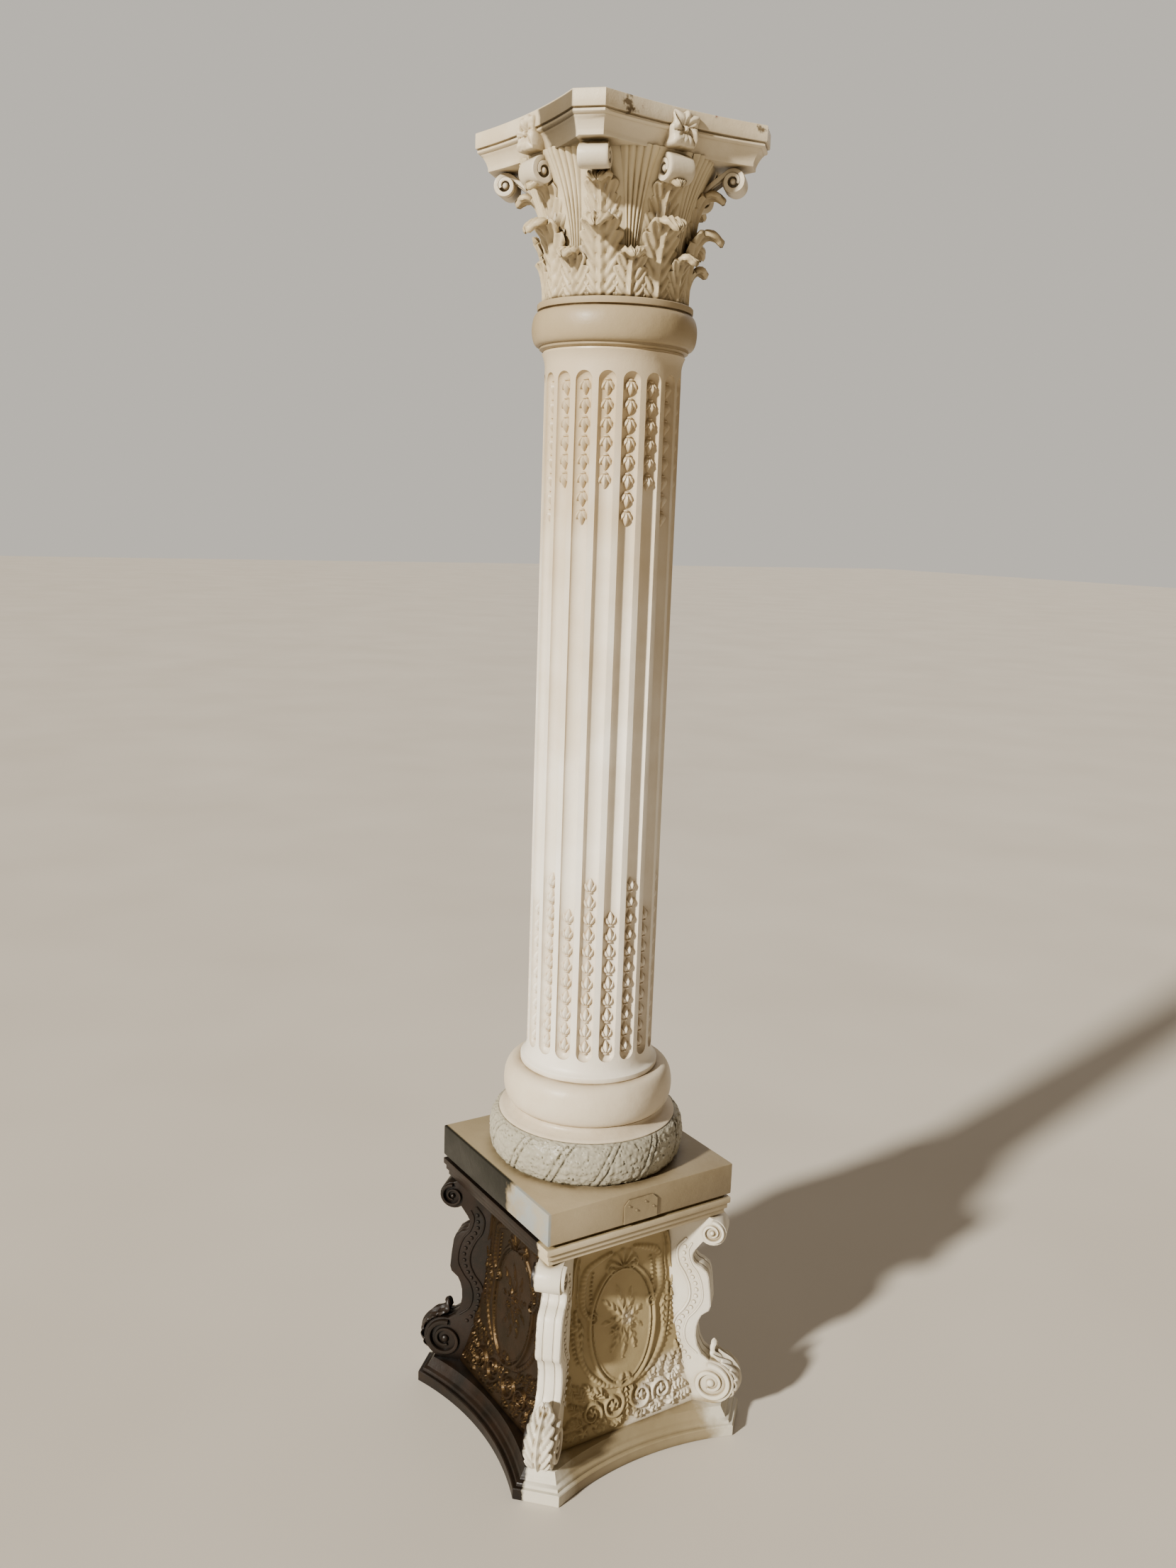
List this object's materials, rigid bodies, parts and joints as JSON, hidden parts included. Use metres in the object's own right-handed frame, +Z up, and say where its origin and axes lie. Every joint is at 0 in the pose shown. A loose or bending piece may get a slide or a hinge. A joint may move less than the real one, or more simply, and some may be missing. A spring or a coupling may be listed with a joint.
{
  "type": "fluted column on a pedestal",
  "caption": "Freestanding fluted display column with a leafy scrolled capital, a moulded base and a square pedestal with corner scroll brackets.",
  "frame": {"origin": "middle of the pedestal's underside, on the floor", "axes": "+Z up along the shaft; the four sides of the pedestal and of the abacus face -X, +X, -Y and +Y, and the blank plate is on the -Y side"},
  "size_m": [0.4554, 0.4554, 2.1],
  "materials": {
    "pedestal_paint": "ivory satin paint over cast stone, browned in the recesses",
    "base_paint": "ivory satin paint over cast stone, mottled on the carved torus",
    "shaft_paint": "ivory satin paint over cast stone",
    "capital_paint": "ivory satin paint over cast stone, toned in the leaves",
    "plate_paint": "thin plate painted over with the plinth"
  },
  "bodies": {
    "root": {"pedestal": "pedestal_paint", "column_base": "base_paint", "shaft": "shaft_paint", "capital": "capital_paint", "blank_plate": "plate_paint"}
  },
  "joints": []
}
